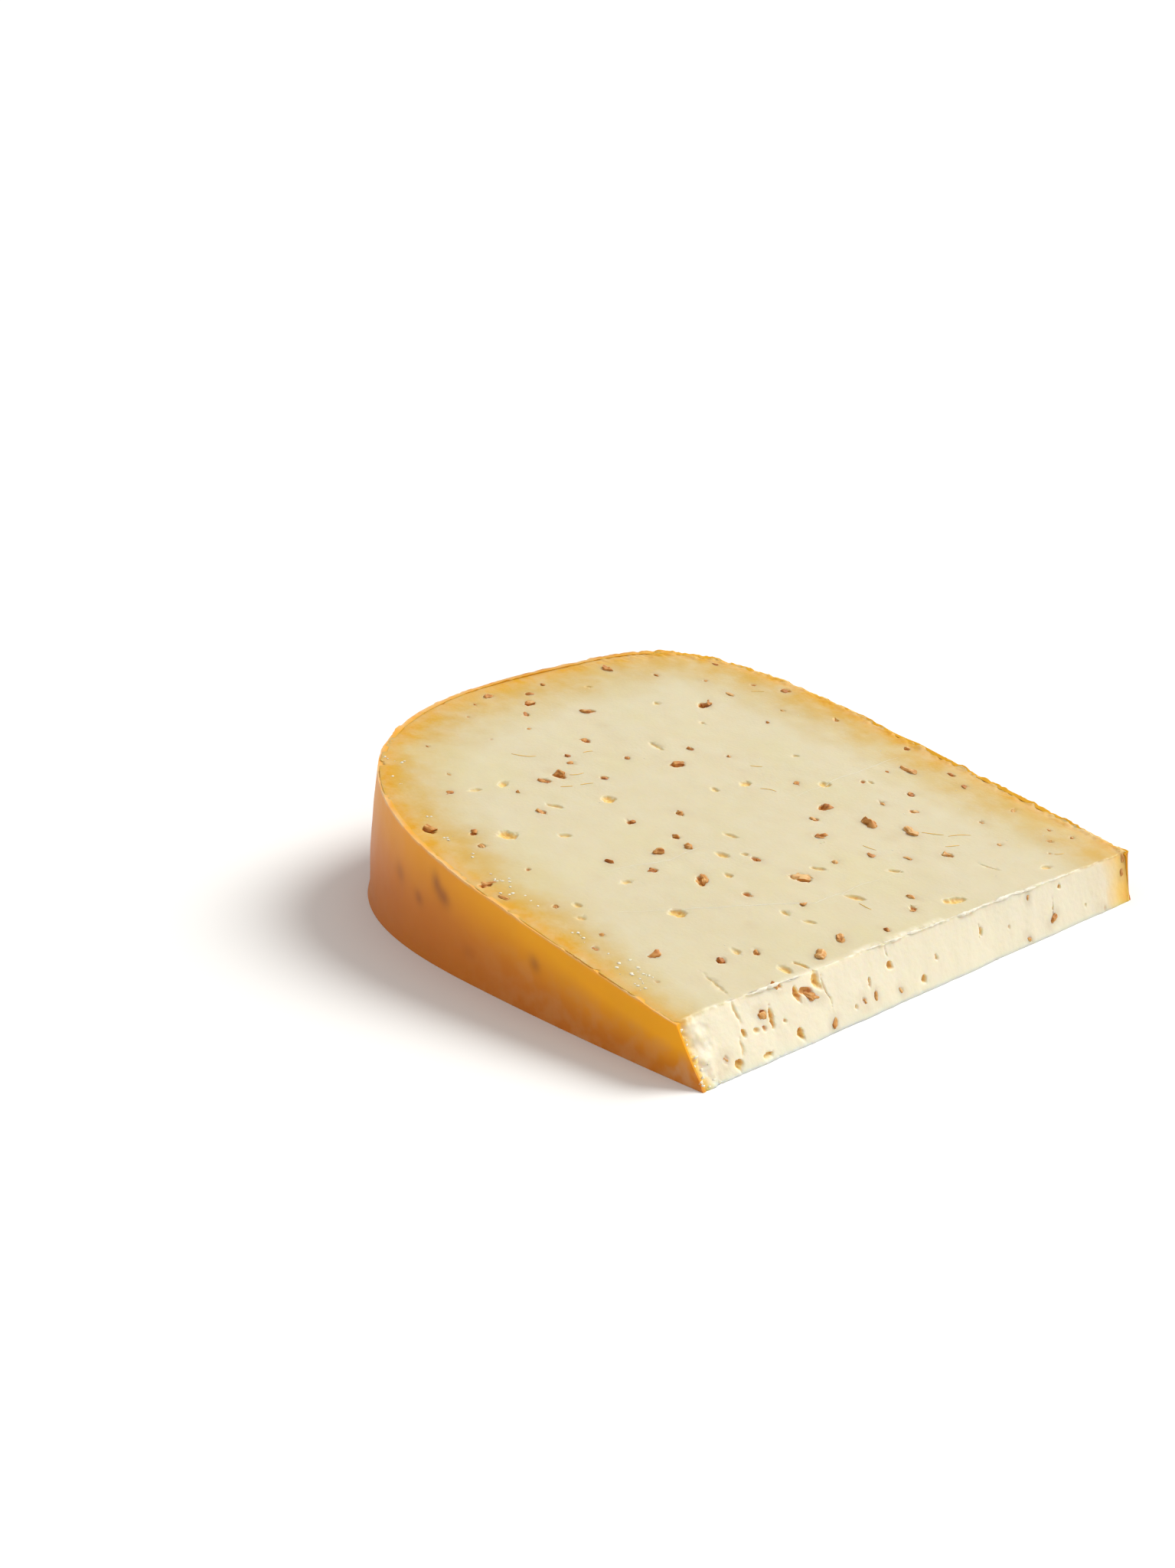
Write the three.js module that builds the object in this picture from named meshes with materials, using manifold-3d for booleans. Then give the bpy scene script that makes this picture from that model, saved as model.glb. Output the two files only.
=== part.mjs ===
import * as THREE from "three";
import { mergeVertices } from "three/addons/utils/BufferGeometryUtils.js";
import Module from "manifold-3d";

// A wedge of cumin Gouda, lying on one of its two cut faces.
// It is cut from a wheel whose axis runs along Y, so the wheel's flat rinds face -Y and +Y,
// its rim is at -X, and the cut-off tip is at +X. Millimetres, +Z up, with the origin
// under the middle of the wedge. "Near" is the -Y side and "far" the +Y side.

// The wheel
const WHEEL_HEIGHT = 115; // flat rind to flat rind
const RIM_PEAK = 17.5; // the rim is fullest this far above mid-height, towards +Y
const NEAR_SHOULDER = { reach: 73.5, power: 2.7 }; // the -Y edge slumps round in a long curve
const FAR_SHOULDER = { reach: 69, power: 3.7 }; // the +Y edge is squarer
const NEAR_TAPER = 0.03; // the part of its half height that each flat has lost at the tip
const FAR_TAPER = 0.02;

// The cuts
const WEDGE_LENGTH = 120; // tip to rim along the resting face
const TIP_LINE = 59; // X of the tip cut's foot at mid-height
const WEDGE_ANGLE = THREE.MathUtils.degToRad(10); // between the two cut faces
const TIP_THICKNESS = 8.35;
const AXIS_DROP = 10.7; // the lower cut passes this far above the wheel's axis
const TIP_SKEW = -0.03; // the tip cut runs slightly askew: X gained per mm of Y
const TIP_LEAN = { near: 5.9, far: 1.6 }; // how far the tip face leans back at its top edge

// The coat is a film of cheese plastic on the rind, drawn thicker than the real 0.3 mm film.
const COAT_THICKNESS = 0.8;
const CLEARANCE = 0.3; // between pieces that touch

// Steps of the round shapes
const TURN_STEPS = 288;
const FLAT_STEPS = 5;
const SHOULDER_STEPS = 18;
const BLOCK_STEPS = 12;
const SEED_SIDES = 7;
const SEED_RINGS = 5;
const EYE_DETAIL = 1;

// Cumin seeds are spindles about three times as long as they are thick.
const SEED_SLENDERNESS = 0.34;
const SEED_POINTEDNESS = 0.75; // the power of a sine: 1 is pointed, towards 0 is blunt
const SEED_SUNK = 0.22; // depth of a seed's middle under the cut, in seed thicknesses
const SEED_DIP = THREE.MathUtils.degToRad(48); // the steepest way a seed lies in the paste
const GOLDEN_ANGLE = Math.PI * (3 - Math.sqrt(5)); // turns each seed away from the last

// Seeds that the knife has cut on the top face: X, Y and length.
const TOP_SEEDS = [
  [-51.5, 25, 3.6], [-51.5, 7.5, 4], [-48.5, 1.5, 4], [-37, 6, 3.4], [-49.5, -12, 4.2],
  [-45.5, -16.5, 4], [-35, -10.5, 4.2], [-27, -3.5, 4.6], [-18, -17, 4.8], [-26, -36, 4.6],
  [-7.5, -30, 4.4], [-10.5, 6.5, 4], [-8, 18, 4.2], [-36.5, 39.5, 4.2], [-28.5, 32, 4.8],
  [-31, 48, 4], [-18.5, 44.5, 4.2], [-7.5, -45, 4], [12, -31, 5], [8, -54, 4.4],
  [4, -7.5, 5], [14.5, -15.5, 4.4], [24.5, -21, 4], [33, -19, 5], [29.5, -49, 4.2],
  [12.5, 46, 4.4], [6.5, 21, 4.2], [16, 18.5, 4.2], [23.5, 9.5, 4.4], [20.5, 30, 4],
  [30, 26, 4.4], [39, 25, 5.2], [33, 12.5, 4.2], [32, -5, 5], [48.5, 42.5, 3.6],
  [39, -12, 3.8], [38.5, -46, 3.8], [44.5, -37, 4], [46.5, 7, 3.8],
];

// Seeds on the tip face: Y, height and length.
const TIP_SEEDS = [
  [-50, 2.2, 3.4], [-39.5, 5.4, 3.2], [-28, 5.4, 4.4], [33, 2.4, 3.2], [-18, 2, 2.8],
];

// The larger eyes, which are small irregular holes in this paste: X, Y, length and width.
const TOP_EYES = [
  [-3.5, -40.5, 4, 3], [-5.5, -15.5, 3.4, 2.6], [-19, -28, 3, 2], [20, -12, 3, 2],
  [31, -33, 3.4, 2.8], [42, -2, 4.4, 2], [51.5, 12.5, 5.6, 2.4], [52, -30, 3.4, 2.4],
  [2, 12, 3.4, 2.2], [-18, 8, 5, 1.4],
];
const EYE_DEPTH = 1.3; // depth over width

const wasm = await Module();
wasm.setup();
const { Manifold, Mesh } = wasm;

const tipToAxis = TIP_THICKNESS / Math.tan(WEDGE_ANGLE);
const wheelAxis = new THREE.Vector3(TIP_LINE + tipToAxis, 0, -AXIS_DROP);
const wheelRadius = Math.hypot(WEDGE_LENGTH + tipToAxis, AXIS_DROP);

function toSolid(geometry) {
  const bare = geometry.index ? geometry.clone() : mergeVertices(geometry);
  bare.deleteAttribute("normal");
  bare.deleteAttribute("uv");
  const merged = mergeVertices(bare, 1e-5);
  const vertProperties = new Float32Array(merged.attributes.position.array);
  const triVerts = new Uint32Array(merged.index.array);
  return new Manifold(new Mesh({ numProp: 3, vertProperties, triVerts }));
}

function toMesh(solid, name, material) {
  const { vertProperties, triVerts } = solid.getMesh();
  const geometry = new THREE.BufferGeometry();
  geometry.setAttribute("position", new THREE.BufferAttribute(vertProperties, 3));
  geometry.setIndex(new THREE.BufferAttribute(triVerts, 1));
  geometry.computeVertexNormals();
  const mesh = new THREE.Mesh(geometry, material);
  mesh.name = name;
  return mesh;
}

// One half of the wheel's section, from its axis out to the fullest point of the rim.
function halfProfile(side, shoulder, taper, inset) {
  const flat = side * (WHEEL_HEIGHT / 2 - inset);
  const rim = wheelRadius - inset;
  const shoulderStart = rim - shoulder.reach;
  const points = [new THREE.Vector2(0, flat * (1 - taper))];
  for (let i = 0; i <= FLAT_STEPS; i++) {
    const along = i / FLAT_STEPS;
    const radius = THREE.MathUtils.lerp(tipToAxis, shoulderStart, along);
    points.push(new THREE.Vector2(radius, flat * (1 - taper * (1 - along) ** 2)));
  }
  for (let i = 1; i <= SHOULDER_STEPS; i++) {
    const turn = (i / SHOULDER_STEPS) * (Math.PI / 2);
    const outward = Math.sin(turn) ** (2 / shoulder.power);
    const upward = Math.max(Math.cos(turn), 0) ** (2 / shoulder.power);
    const height = RIM_PEAK + (flat - RIM_PEAK) * (i === SHOULDER_STEPS ? 0 : upward);
    points.push(new THREE.Vector2(shoulderStart + shoulder.reach * outward, height));
  }
  return points;
}

function wheel(inset) {
  const near = halfProfile(-1, NEAR_SHOULDER, NEAR_TAPER, inset);
  const far = halfProfile(1, FAR_SHOULDER, FAR_TAPER, inset);
  const outline = [...near, ...far.reverse().slice(1)];
  const geometry = new THREE.LatheGeometry(outline, TURN_STEPS);
  geometry.translate(wheelAxis.x, wheelAxis.y, wheelAxis.z);
  return toSolid(geometry);
}

function topHeight(x) {
  return (wheelAxis.x - x) * Math.tan(WEDGE_ANGLE);
}

// A point of the tip face, from its foot (0) to its top edge (1).
function tipFace(y, rise) {
  const foot = TIP_LINE + TIP_SKEW * y;
  const lean = THREE.MathUtils.mapLinear(
    y, -WHEEL_HEIGHT / 2, WHEEL_HEIGHT / 2, TIP_LEAN.near, TIP_LEAN.far);
  const x = foot - lean * rise;
  return new THREE.Vector3(x, y, rise * topHeight(x));
}

// What the three cuts leave of a wheel: a box with its corners moved onto the cuts.
function knifeBlock() {
  const geometry = new THREE.BoxGeometry(2, 2, 2, 1, BLOCK_STEPS, 1);
  const corners = geometry.attributes.position;
  const behindRim = TIP_LINE - 2 * WEDGE_LENGTH;
  for (let i = 0; i < corners.count; i++) {
    const rise = corners.getZ(i) > 0 ? 1 : 0;
    const y = corners.getY(i) * (WHEEL_HEIGHT / 2 + 1);
    const cut = tipFace(y, rise);
    if (corners.getX(i) < 0) {
      cut.set(behindRim, y, rise * topHeight(behindRim));
    }
    corners.setXYZ(i, cut.x, cut.y, cut.z);
  }
  return toSolid(geometry);
}

// A cumin seed along X, with its middle at the origin.
function seedSpindle(length, extra) {
  const outline = [];
  const halfLength = length / 2 + extra;
  const halfWidth = (length * SEED_SLENDERNESS) / 2 + extra;
  for (let i = 0; i <= SEED_RINGS; i++) {
    const turn = (i / SEED_RINGS) * Math.PI;
    const ends = i === 0 || i === SEED_RINGS;
    const radius = ends ? 0 : halfWidth * Math.sin(turn) ** SEED_POINTEDNESS;
    outline.push(new THREE.Vector2(radius, -halfLength * Math.cos(turn)));
  }
  return new THREE.LatheGeometry(outline, SEED_SIDES).rotateZ(-Math.PI / 2);
}

// Where a seed lies: its middle, the way it points and the face it is cut on.
function topSeedPlace([x, y, length], index) {
  const depth = length * SEED_SLENDERNESS * SEED_SUNK;
  const turn = new THREE.Euler(0, SEED_DIP * Math.sin(index * 2), index * GOLDEN_ANGLE, "ZYX");
  const middle = new THREE.Vector3(x, y, topHeight(x) - depth);
  return { length, middle, turn };
}

function tipSeedPlace([y, height, length], index) {
  const depth = length * SEED_SLENDERNESS * SEED_SUNK;
  const middle = tipFace(y, height / TIP_THICKNESS);
  middle.x -= depth;
  const turn = new THREE.Euler(0, -Math.PI / 4 - index, Math.PI / 2, "ZYX");
  return { length, middle, turn };
}

function placedSeed({ length, middle, turn }, extra) {
  const placement = new THREE.Matrix4().makeRotationFromEuler(turn).setPosition(middle);
  return toSolid(seedSpindle(length, extra).applyMatrix4(placement));
}

function eye([x, y, length, width]) {
  const geometry = new THREE.IcosahedronGeometry(0.5, EYE_DETAIL);
  geometry.scale(length, width, width * EYE_DEPTH);
  geometry.rotateZ((x + y) * GOLDEN_ANGLE);
  geometry.translate(x, y, topHeight(x));
  return toSolid(geometry);
}

const block = knifeBlock();
const seedPlaces = [...TOP_SEEDS.map(topSeedPlace), ...TIP_SEEDS.map(tipSeedPlace)];

function makeRindCoating() {
  const film = wheel(0).subtract(wheel(COAT_THICKNESS)).intersect(block);
  const colour = { color: 0xc9752c, roughness: 0.35, metalness: 0 };
  return toMesh(film, "rind_coating", new THREE.MeshStandardMaterial(colour));
}

function makePaste() {
  let solid = wheel(COAT_THICKNESS + CLEARANCE).intersect(block);
  for (const place of seedPlaces) {
    solid = solid.subtract(placedSeed(place, CLEARANCE));
  }
  for (const hole of TOP_EYES) {
    solid = solid.subtract(eye(hole));
  }
  const colour = { color: 0xe6dab9, roughness: 0.6, metalness: 0 };
  return toMesh(solid, "paste", new THREE.MeshStandardMaterial(colour));
}

function makeSeeds() {
  const colour = { color: 0x8f5a2a, roughness: 0.7, metalness: 0 };
  const material = new THREE.MeshStandardMaterial(colour);
  return seedPlaces.map((place, index) => {
    const number = String(index + 1).padStart(2, "0");
    const cutFlush = placedSeed(place, 0).intersect(block);
    return toMesh(cutFlush, `cumin_seed_${number}`, material);
  });
}

const wedge = new THREE.Group();
wedge.add(makePaste(), makeRindCoating(), ...makeSeeds());

const bounds = new THREE.Box3().setFromObject(wedge);
const middle = bounds.getCenter(new THREE.Vector3());
wedge.position.set(-middle.x, -middle.y, -bounds.min.z);

export default wedge;
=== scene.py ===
import math
import random

import bmesh
import bpy
import numpy as np
from mathutils import Matrix, Vector, noise
from mathutils.bvhtree import BVHTree


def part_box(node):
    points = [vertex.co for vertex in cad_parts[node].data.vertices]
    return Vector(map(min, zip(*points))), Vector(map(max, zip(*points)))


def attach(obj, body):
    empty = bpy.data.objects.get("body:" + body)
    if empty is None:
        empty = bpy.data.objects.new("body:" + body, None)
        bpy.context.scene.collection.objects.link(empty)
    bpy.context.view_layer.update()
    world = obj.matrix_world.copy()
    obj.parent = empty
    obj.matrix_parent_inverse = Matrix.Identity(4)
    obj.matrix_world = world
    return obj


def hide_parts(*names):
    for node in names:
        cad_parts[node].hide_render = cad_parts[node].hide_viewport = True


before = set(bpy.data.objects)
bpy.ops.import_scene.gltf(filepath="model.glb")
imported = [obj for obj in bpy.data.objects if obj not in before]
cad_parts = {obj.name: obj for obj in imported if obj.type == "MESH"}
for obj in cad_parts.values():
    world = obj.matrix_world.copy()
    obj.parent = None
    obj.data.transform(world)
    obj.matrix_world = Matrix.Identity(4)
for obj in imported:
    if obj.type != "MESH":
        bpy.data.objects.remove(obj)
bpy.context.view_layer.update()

# A wedge of cumin Gouda on one of its two cut faces. Shapes are worked out in millimetres in
# the frame's own axes: +X to the cut-off tip, -X to the wheel's rim, -Y the near flat rind,
# +Y the far flat rind, +Z up. Meshes are stored in metres.
MM = 0.001

# ---------------------------------------------------------------- the wheel and its cuts

rind_low, rind_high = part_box("rind_coating")
WHEEL_HEIGHT = (rind_high.y - rind_low.y) / MM
HALF_HEIGHT = WHEEL_HEIGHT / 2
WEDGE_LENGTH = 120
WEDGE_SLOPE = math.tan(math.radians(10))
TIP_THICKNESS = 8.35
TIP_SKEW = -0.03
TIP_LEAN_NEAR = 5.9
TIP_LEAN_FAR = 1.6
AXIS_DROP = 10.7
RIM_PEAK = 17.5
NEAR_SHOULDER = {"side": -1, "reach": 73.5, "power": 2.7, "taper": 0.03}
FAR_SHOULDER = {"side": 1, "reach": 69, "power": 3.7, "taper": 0.02}

TIP_LINE = rind_high.x / MM + TIP_SKEW * HALF_HEIGHT
TIP_TO_AXIS = TIP_THICKNESS / WEDGE_SLOPE
AXIS_X = TIP_LINE + TIP_TO_AXIS
WHEEL_RADIUS = math.hypot(WEDGE_LENGTH + TIP_TO_AXIS, AXIS_DROP)
TOP_NORMAL = np.array([math.sin(math.atan(WEDGE_SLOPE)), 0, math.cos(math.atan(WEDGE_SLOPE))])

# ---------------------------------------------------------------- sizes of the finish

PASTE_GRAIN = 1.0  # spacing of the paste's own mesh
COAT_FILM = 0.35  # thickness of the coating film
PASTE_INSET = 0.28  # the paste runs a little way into the film, so no gap shows
COAT_STEP = 0.6  # spacing of the film's mesh
COAT_FOLD = 0.45  # how much further in the film's top edge reaches, where the wire dragged it

# How the framed seeds look, in their own order: width, tone from dark 0 to golden 1, and
# whether the wire tore the paste open beside it.
SEED_LOOKS = [
    (1.4, 0.35, 0), (1.1, 0.5, 0), (1.4, 0.35, 1), (1.3, 0.25, 1), (1.1, 0.45, 0),
    (1.0, 0.6, 0), (1.1, 0.45, 0), (1.7, 0.4, 1), (1.8, 0.5, 1), (1.1, 0.75, 0),
    (1.6, 0.6, 1), (1.5, 0.35, 1), (1.3, 0.5, 0), (1.1, 0.5, 0), (1.8, 0.15, 1),
    (1.4, 0.35, 0), (1.0, 0.6, 0), (1.2, 0.5, 1), (1.7, 0.15, 0), (1.3, 0.45, 1),
    (2.0, 0.45, 1), (1.7, 0.5, 0), (1.4, 0.35, 1), (1.8, 0.7, 1), (1.1, 0.6, 0),
    (1.3, 0.6, 0), (1.6, 0.3, 0), (2.0, 0.25, 1), (2.0, 0.4, 0), (1.3, 0.65, 1),
    (1.6, 0.7, 0), (2.2, 0.8, 1), (1.6, 0.3, 0), (2.0, 0.85, 1), (1.1, 0.5, 0),
    (1.5, 0.6, 0), (1.6, 0.4, 0), (1.8, 0.1, 1), (1.3, 0.6, 0), (1.5, 0.75, 0),
    (1.3, 0.6, 1), (1.6, 0.45, 1), (1.2, 0.5, 0), (1.2, 0.5, 0),
]
# Cumin seeds too small to matter in the frame's design: X, Y and length on the top face.
SMALL_SEEDS = [
    (-51, -7, 3.2), (-45, -1.5, 3), (-41, -6, 2.8), (-38, -32, 2.4), (-34, -19.5, 2.2),
    (-22, -10.5, 3), (-16.5, -21.5, 3), (-20, -12.5, 2.6), (-20.5, -40, 2.8), (-15, -28.5, 2),
    (-12, -10.5, 2.2), (-17, -0.5, 3), (-14, 13, 2.2), (-44, 32, 2.2), (-43, 48, 2.8),
    (-29.5, 39.5, 2.8), (-25.5, 51.5, 2.8), (-16.5, 37, 2), (-10.5, 50, 3), (-11.5, -51, 3),
    (-2, -47.5, 2.2), (13.5, -55, 2.6), (8, -46, 2), (3, -17.5, 2.6), (11, -14.5, 2),
    (14, -21.5, 3), (18, -27, 3), (25, -8, 2.2), (20, -50, 2.6), (33, -52.5, 2.2),
    (5, 54, 3), (11, 41, 2.6), (17.5, 52.5, 2.2), (23, 50.5, 3), (12, 33, 2.2),
    (20, 38.5, 3.2), (18, 13.5, 2.8), (24.5, 21, 4.6), (26, 33.5, 3), (35, 41, 1.6),
    (34.5, 50.5, 2.2), (37, 17.5, 2.6), (32, 4, 2.8), (42, 36.5, 2.2), (43, 50, 2.2),
    (47, 52, 2.2), (45.5, 46.5, 2.8), (50, -14.5, 4.8), (50, 3, 3), (52, -6, 2.2),
    (52, -22, 3.8), (55, -35, 2), (45.5, -50.5, 2.2), (46, -30.5, 2.2),
]
# Small seeds on the tip face: Y, height and length.
TIP_FACE_SEEDS = [
    (-25.5, 1.3, 1.8), (-15, 2.4, 1.6), (-9, 1.8, 1.2), (25.5, 1.2, 1.6), (48, 1, 2),
    (55, 6.2, 2.4), (55.3, 8.2, 2), (27.5, 7.8, 1.6),
]

# Eyes and torn holes on the top face: X, Y, length, width, and the way they point in degrees.
EYES = [
    (-3.5, -40.5, 4, 3, 20), (-5.5, -15.5, 3.2, 2.4, 80), (-19, -29, 3, 1.8, 120), (20, -12, 3, 1.8, 10),
    (31, -33, 3.4, 2.6, 50), (42, -2, 4.4, 1.6, 35), (51.5, 12.5, 5.8, 2, 70), (52, -30, 3.2, 1.8, 15),
    (2, 12, 3.2, 2, 100), (-18, 8, 5, 1.1, 0), (-19.5, -35, 3.4, 1.2, 70), (-8, -26, 3.6, 1.2, 30),
    (1.5, -32, 2.8, 1.4, 60), (15.5, -5.5, 3.8, 1.2, 20), (22, -8.5, 2, 1.2, 45), (26, -16.5, 2.2, 1.4, 0),
    (19, -33.5, 2.4, 1.4, 80), (21, -46, 2, 1.4, 20), (24.5, -48, 1.8, 1.2, 60), (1, 5, 2, 1.4, 10),
    (32, -0.5, 3.8, 1.2, 40), (13, 34.5, 2, 1, 10), (39, 11.5, 3.6, 1.1, 55), (40, -17, 2, 1.2, 20),
    (44, -15.5, 3, 1, 40), (44.5, -33, 2.6, 1.4, 0), (52, 37.5, 2.4, 1.2, 75), (9.5, 25.5, 3, 2, 60),
    (-33, 22, 2, 1.2, 15), (-46, 15, 1.8, 1, 60), (-2, 30, 1.8, 1, 30), (-22, 24, 1.6, 1, 80),
]
# Holes on the tip face: Y, height, width, height of the hole, its lean in degrees and depth.
TIP_FACE_HOLES = [
    (-47.2, 1.3, 1.9, 1.5, 0, 0.8), (-44.2, 4.6, 1.0, 1.3, 0, 0.7), (-41.6, 4.4, 1.3, 0.8, 0, 0.4),
    (-39.9, 4.2, 0.8, 0.9, 0, 0.4), (-37.8, 5.2, 0.9, 3.2, -12, 0.7), (-41.2, 0.9, 2.6, 0.8, 5, 0.6),
    (-33.3, 1.8, 1.5, 1.7, 0, 0.9), (-31.3, 6.9, 1.3, 2.3, 8, 0.9), (-15.5, 4.6, 0.6, 1.6, -20, 0.5),
    (-9.8, 5.7, 1.3, 1.4, 0, 0.8), (-3, 1.9, 1.4, 1.3, 20, 0.7), (1.2, 4.3, 0.8, 1, 0, 0.4),
    (13.6, 5.3, 0.8, 1.6, -8, 0.5), (36.3, 7.4, 1, 0.9, 0, 0.5), (-35.4, 4.1, 0.7, 0.6, 0, 0.35),
    (-20, 2.2, 0.7, 0.8, 0, 0.35), (21, 4.2, 0.5, 0.8, 0, 0.3), (43, 2.6, 0.6, 0.7, 0, 0.3),
]


def on_top_at(x, y):
    return (x, y, top_height(x))


def on_tip_at(y, height):
    return (tip_face_x(y, height), y, height)


# Splits in the paste: where each starts and ends, its width and its depth.
def fissure_list():
    return [
        (on_top_at(45.3, -42.4), on_top_at(54.6, -43.6), 0.9, 0.3),
        (on_tip_at(-43.6, 9.4), on_tip_at(-44.4, 5.4), 0.9, 0.35),
        (on_tip_at(-45, 4.6), on_tip_at(-46.6, 1.2), 0.9, 0.3),
        (on_tip_at(-25.4, 9), on_tip_at(-24.8, 2.4), 0.35, 0.35),
        (on_tip_at(13.4, 7), on_tip_at(12.6, 3.4), 0.35, 0.35),
        (on_tip_at(34.2, 6.6), on_tip_at(33.4, 2), 0.4, 0.45),
        (on_tip_at(-9.6, 9), on_tip_at(-9.8, 6.6), 0.3, 0.3),
        (on_top_at(44, 27), on_top_at(49, 28.6), 0.4, 0.35),
        (on_top_at(51, -27.2), on_top_at(54.4, -26.4), 0.9, 0.7),
        (on_tip_at(-26.8, 9.2), on_tip_at(-26, 6.2), 2.4, 0.8),
    ]


RANDOM_SEED = 11
rng = random.Random(RANDOM_SEED)
noise.seed_set(RANDOM_SEED)  # rough_shift's noise follows the clock otherwise


# ---------------------------------------------------------------- small helpers

def new_piece(name, points, faces):
    mesh = bpy.data.meshes.new(name)
    mesh.from_pydata((np.asarray(points, float) * MM).tolist(), [], faces)
    mesh.validate()
    piece = bpy.data.objects.new(name, mesh)
    bpy.context.scene.collection.objects.link(piece)
    return piece


def read_points(mesh):
    flat = np.empty(len(mesh.vertices) * 3, np.float32)
    mesh.vertices.foreach_get("co", flat)
    return flat.reshape(-1, 3).astype(float) / MM


def write_points(mesh, points):
    mesh.vertices.foreach_set("co", (points * MM).astype(np.float32).ravel())
    mesh.update()


def keep_modifiers(piece):
    """Turns what the modifiers make into the piece's own mesh."""
    depsgraph = bpy.context.evaluated_depsgraph_get()
    finished = bpy.data.meshes.new_from_object(piece.evaluated_get(depsgraph))
    piece.modifiers.clear()
    piece.data = finished


def mark(mesh, name, values):
    layer = mesh.attributes.new(name, "FLOAT", "POINT")
    layer.data.foreach_set("value", np.asarray(values, np.float32))


def smooth(piece, sharpest=180):
    piece.data.polygons.foreach_set("use_smooth", [True] * len(piece.data.polygons))
    if sharpest < 180:
        piece.data.set_sharp_from_angle(angle=math.radians(sharpest))


def rough(points, scale, depth, salt=0):
    """Smooth noise at each point, about -depth to depth, with features scale mm across."""
    turned = np.asarray(points, float) / scale + salt
    return np.array([noise.noise(Vector(p)) for p in turned]) * depth * 2


def rough_shift(points, scale, depth, salt=0):
    """Smooth noise that moves each point in any direction, up to about depth."""
    turned = np.asarray(points, float) / scale + salt
    return np.array([noise.noise_vector(Vector(p))[:] for p in turned]) * depth


def grains(points, size, salt=0):
    """Lumps like packed crumbs: 1 at the middle of a lump, 0 in the cracks between lumps."""
    turned = np.asarray(points, float) / size + salt
    return 1 - np.clip([noise.voronoi(Vector(p))[0][0] for p in turned], 0, 1)


def fade(values, start, end):
    """0 at start and before, 1 at end and after, smooth in between."""
    share = np.clip((np.asarray(values, float) - start) / (end - start), 0, 1)
    return share * share * (3 - 2 * share)


# ---------------------------------------------------------------- the wheel's outline

def top_height(x):
    return (AXIS_X - x) * WEDGE_SLOPE


def tip_lean(y):
    return np.interp(y, [-HALF_HEIGHT, HALF_HEIGHT], [TIP_LEAN_NEAR, TIP_LEAN_FAR])


def tip_face_x(y, height):
    return TIP_LINE + TIP_SKEW * y - tip_lean(y) * height / TIP_THICKNESS


def above_top(points):
    """Height above the top cut, measured square to it."""
    return (points[:, 2] - top_height(points[:, 0])) * TOP_NORMAL[2]


def outside_tip(points):
    """Distance out from the tip cut."""
    return points[:, 0] - tip_face_x(points[:, 1], points[:, 2])


def flat_height(radius, shoulder, inset):
    """Y of a flat rind at a distance from the wheel's axis."""
    start = WHEEL_RADIUS - inset - shoulder["reach"]
    along = (radius - TIP_TO_AXIS) / (start - TIP_TO_AXIS)
    lost = shoulder["taper"] * (1 - along) ** 2
    return shoulder["side"] * (HALF_HEIGHT - inset) * (1 - lost)


def half_outline(shoulder, inset, rise, step):
    """Distance from the axis and Y, from the tip cut out to the fullest part of the rim."""
    tip_y = shoulder["side"] * HALF_HEIGHT
    height = rise * TIP_THICKNESS
    tip_radius = math.hypot(AXIS_X - tip_face_x(tip_y, height), height + AXIS_DROP)
    rim = WHEEL_RADIUS - inset
    start = rim - shoulder["reach"]
    flat_steps = round((WHEEL_RADIUS - shoulder["reach"] - TIP_TO_AXIS) / step)
    shoulder_steps = round(1.25 * shoulder["reach"] / step)
    radii = np.linspace(tip_radius, start, flat_steps, endpoint=False)
    flat = np.column_stack([radii, flat_height(radii, shoulder, inset)])
    turn = np.linspace(0, math.pi / 2, shoulder_steps)
    outward = np.sin(turn) ** (2 / shoulder["power"])
    upward = np.abs(np.cos(turn)) ** (2 / shoulder["power"])
    flat_y = shoulder["side"] * (HALF_HEIGHT - inset)
    round_part = [start + shoulder["reach"] * outward, RIM_PEAK + (flat_y - RIM_PEAK) * upward]
    return np.vstack([flat, np.column_stack(round_part)])


def outline(inset, rise, step):
    near = half_outline(NEAR_SHOULDER, inset, rise, step)
    far = half_outline(FAR_SHOULDER, inset, rise, step)
    return np.vstack([near, far[::-1][1:]])


def rind_row(inset, rise, step):
    """Points of the rind at one share of the way from the resting cut to the top cut."""
    radius, y = outline(inset, rise, step).T
    bottom = np.arcsin(AXIS_DROP / radius)
    slant = 1 + WEDGE_SLOPE ** 2
    half_b = WEDGE_SLOPE * AXIS_DROP
    reach = (-half_b + np.sqrt(half_b ** 2 - slant * (AXIS_DROP ** 2 - radius ** 2))) / slant
    top = np.arctan2(reach * WEDGE_SLOPE + AXIS_DROP, reach)
    turn = bottom + (top - bottom) * rise
    return np.column_stack([AXIS_X - radius * np.cos(turn), y, radius * np.sin(turn) - AXIS_DROP])


# ---------------------------------------------------------------- cumin seeds

SEED_RIDGES = 7
SEED_SIDES = 28
SEED_RINGS = 14
SEED_RIDGE_HEIGHT = 0.09  # of the seed's radius
WHOLE_SEED = {"share": 0.3, "blunt": 0.8}
BROKEN_SEED = {"share": 0.7, "blunt": 0.5}


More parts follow.
